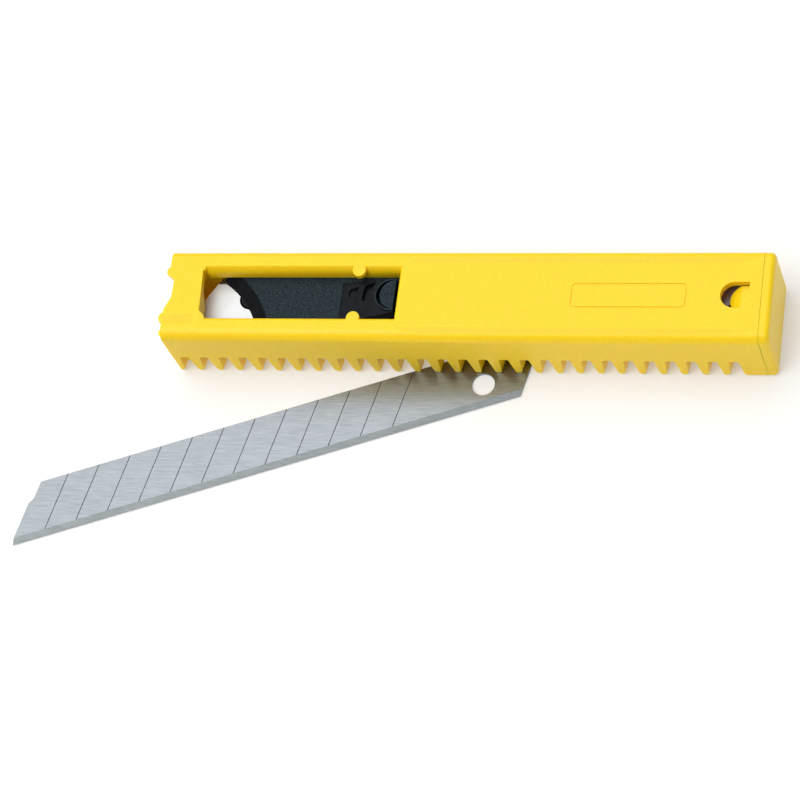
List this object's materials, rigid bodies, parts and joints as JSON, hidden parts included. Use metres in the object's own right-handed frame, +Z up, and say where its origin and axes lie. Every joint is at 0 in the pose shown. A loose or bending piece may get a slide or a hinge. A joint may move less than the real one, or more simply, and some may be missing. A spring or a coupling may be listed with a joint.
{
  "type": "snap-off blade dispenser",
  "caption": "Moulded dispenser case for narrow snap-off blades, with a sprung stack, a thumb slider, a clip-in end cap and one loose scored blade beside it.",
  "frame": {"origin": "middle of the whole object's box, on the table under it", "axes": "+X along the case towards its end cap, +Y to the case's back rail, +Z up"},
  "size_m": [0.114, 0.044, 0.0119],
  "materials": {
    "case_plastic": "finely textured yellow polypropylene, slightly translucent",
    "slider_plastic": "black nylon, finely textured plate with glossy nose and grip",
    "blade_steel": "surface-ground carbon steel with a finer ground edge",
    "plate_plastic": "plain black nylon",
    "spring_steel": "rolled spring strip"
  },
  "bodies": {
    "case": {"case_body": "case_plastic", "leaf_spring": "spring_steel"},
    "cap": {"end_cap": "case_plastic", "cap_latch": "case_plastic"},
    "slider": {"slider": "slider_plastic"},
    "feed": {"feed_blade": "blade_steel"},
    "stack": {"stack_blade_1": "blade_steel", "stack_blade_2": "blade_steel", "stack_blade_3": "blade_steel", "stack_blade_4": "blade_steel", "stack_blade_5": "blade_steel", "stack_blade_6": "blade_steel", "stack_blade_7": "blade_steel", "stack_blade_8": "blade_steel", "pressure_plate": "plate_plastic"},
    "loose": {"loose_blade": "blade_steel"}
  },
  "joints": [
    {"name": "slider_travel", "type": "slide", "parent": "case", "child": "slider", "axis": [-1, 0, 0], "range_m": [0, 0.0205]},
    {"name": "blade_feed", "type": "slide", "parent": "case", "child": "feed", "axis": [-1, 0, 0], "range_m": [0, 0.0205]},
    {"name": "stack_press", "type": "slide", "parent": "case", "child": "stack", "axis": [0, 0, -1], "range_m": [0, 0.0004], "stiffness_N_per_m": 500, "springref_m": -0.001, "deforming": ["leaf_spring"]},
    {"name": "cap_pull", "type": "slide", "parent": "case", "child": "cap", "axis": [1, 0, 0], "range_m": [0, 0.015], "deforming": ["cap_latch"]},
    {"name": "loose_blade_draw", "type": "slide", "parent": "case", "child": "loose", "axis": [-0.9469, -0.3216, 0], "range_m": [0, 0.03]}
  ],
  "couplings": [
    {"joint": "blade_feed", "follows": "slider_travel", "ratio": 1}
  ]
}
